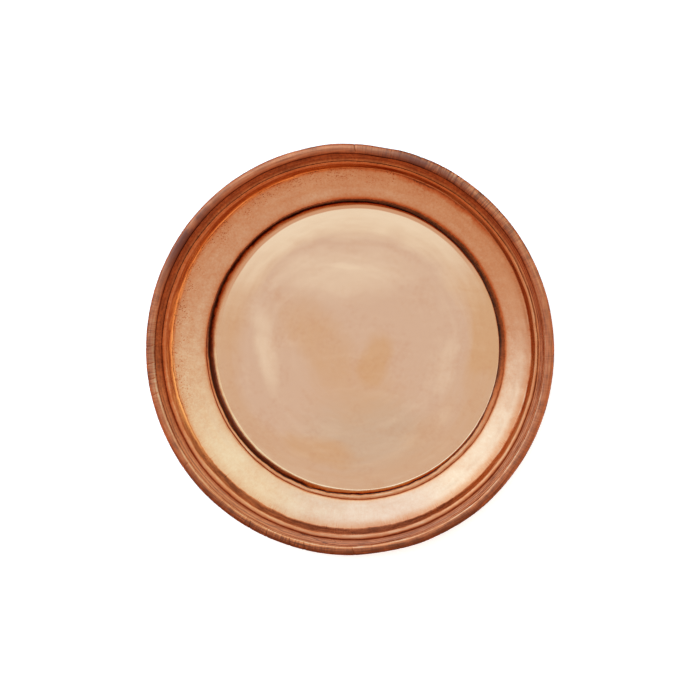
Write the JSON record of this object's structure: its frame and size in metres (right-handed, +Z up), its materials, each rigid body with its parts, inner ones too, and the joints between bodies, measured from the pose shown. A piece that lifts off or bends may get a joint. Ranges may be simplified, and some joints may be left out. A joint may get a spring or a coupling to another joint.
{
  "type": "hammered copper tray",
  "caption": "Round hammered copper tray with a flat sunk well, a broad sloping flange, a moulded rim and a rolled edge over a wire ring.",
  "frame": {"origin": "middle of the tray under the well, on the surface the tray stands on", "axes": "+Z up, out of the tray; +X towards the side where the flange is narrowest, because the well sits a little off centre"},
  "size_m": [0.3, 0.3, 0.027],
  "materials": {
    "copper": "hand polished, with dark patina in the creases",
    "steel_wire": "drawn wire, dulled"
  },
  "bodies": {
    "root": {"tray_sheet": "copper", "rim_wire": "steel_wire"}
  },
  "joints": []
}
